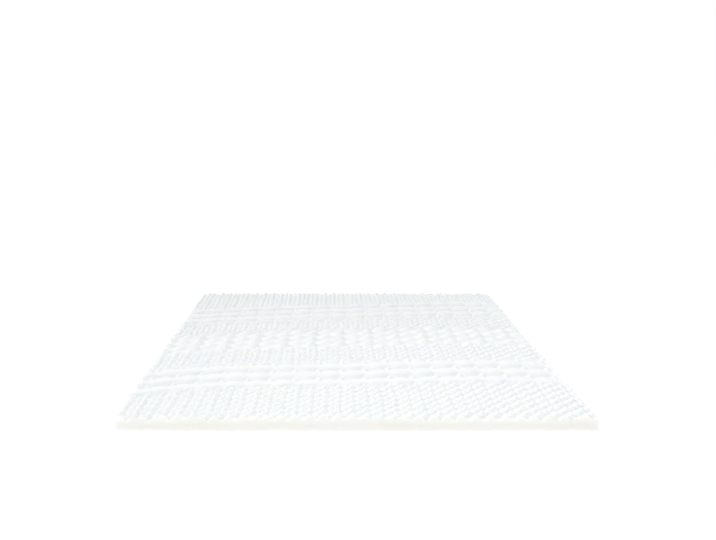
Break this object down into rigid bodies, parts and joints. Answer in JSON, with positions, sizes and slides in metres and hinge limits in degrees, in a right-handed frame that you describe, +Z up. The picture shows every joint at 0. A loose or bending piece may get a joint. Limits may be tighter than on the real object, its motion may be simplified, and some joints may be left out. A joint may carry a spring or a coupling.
{
  "type": "mattress topper",
  "caption": "Flat one-piece convoluted foam mattress topper with a smooth underside and bands of peaks, blocks and dimples across the top.",
  "frame": {"origin": "middle of the flat underside, on the surface that the topper lies on", "axes": "+X across the width to the right as seen from the foot end, +Y along the length from the foot end to the head end, +Z up through the thickness"},
  "size_m": [1.372, 1.905, 0.0508],
  "materials": {
    "foam": "matt open-cell polyurethane foam, near white with a faintly creamy cut edge"
  },
  "bodies": {
    "root": {"foam_topper": "foam"}
  },
  "joints": []
}
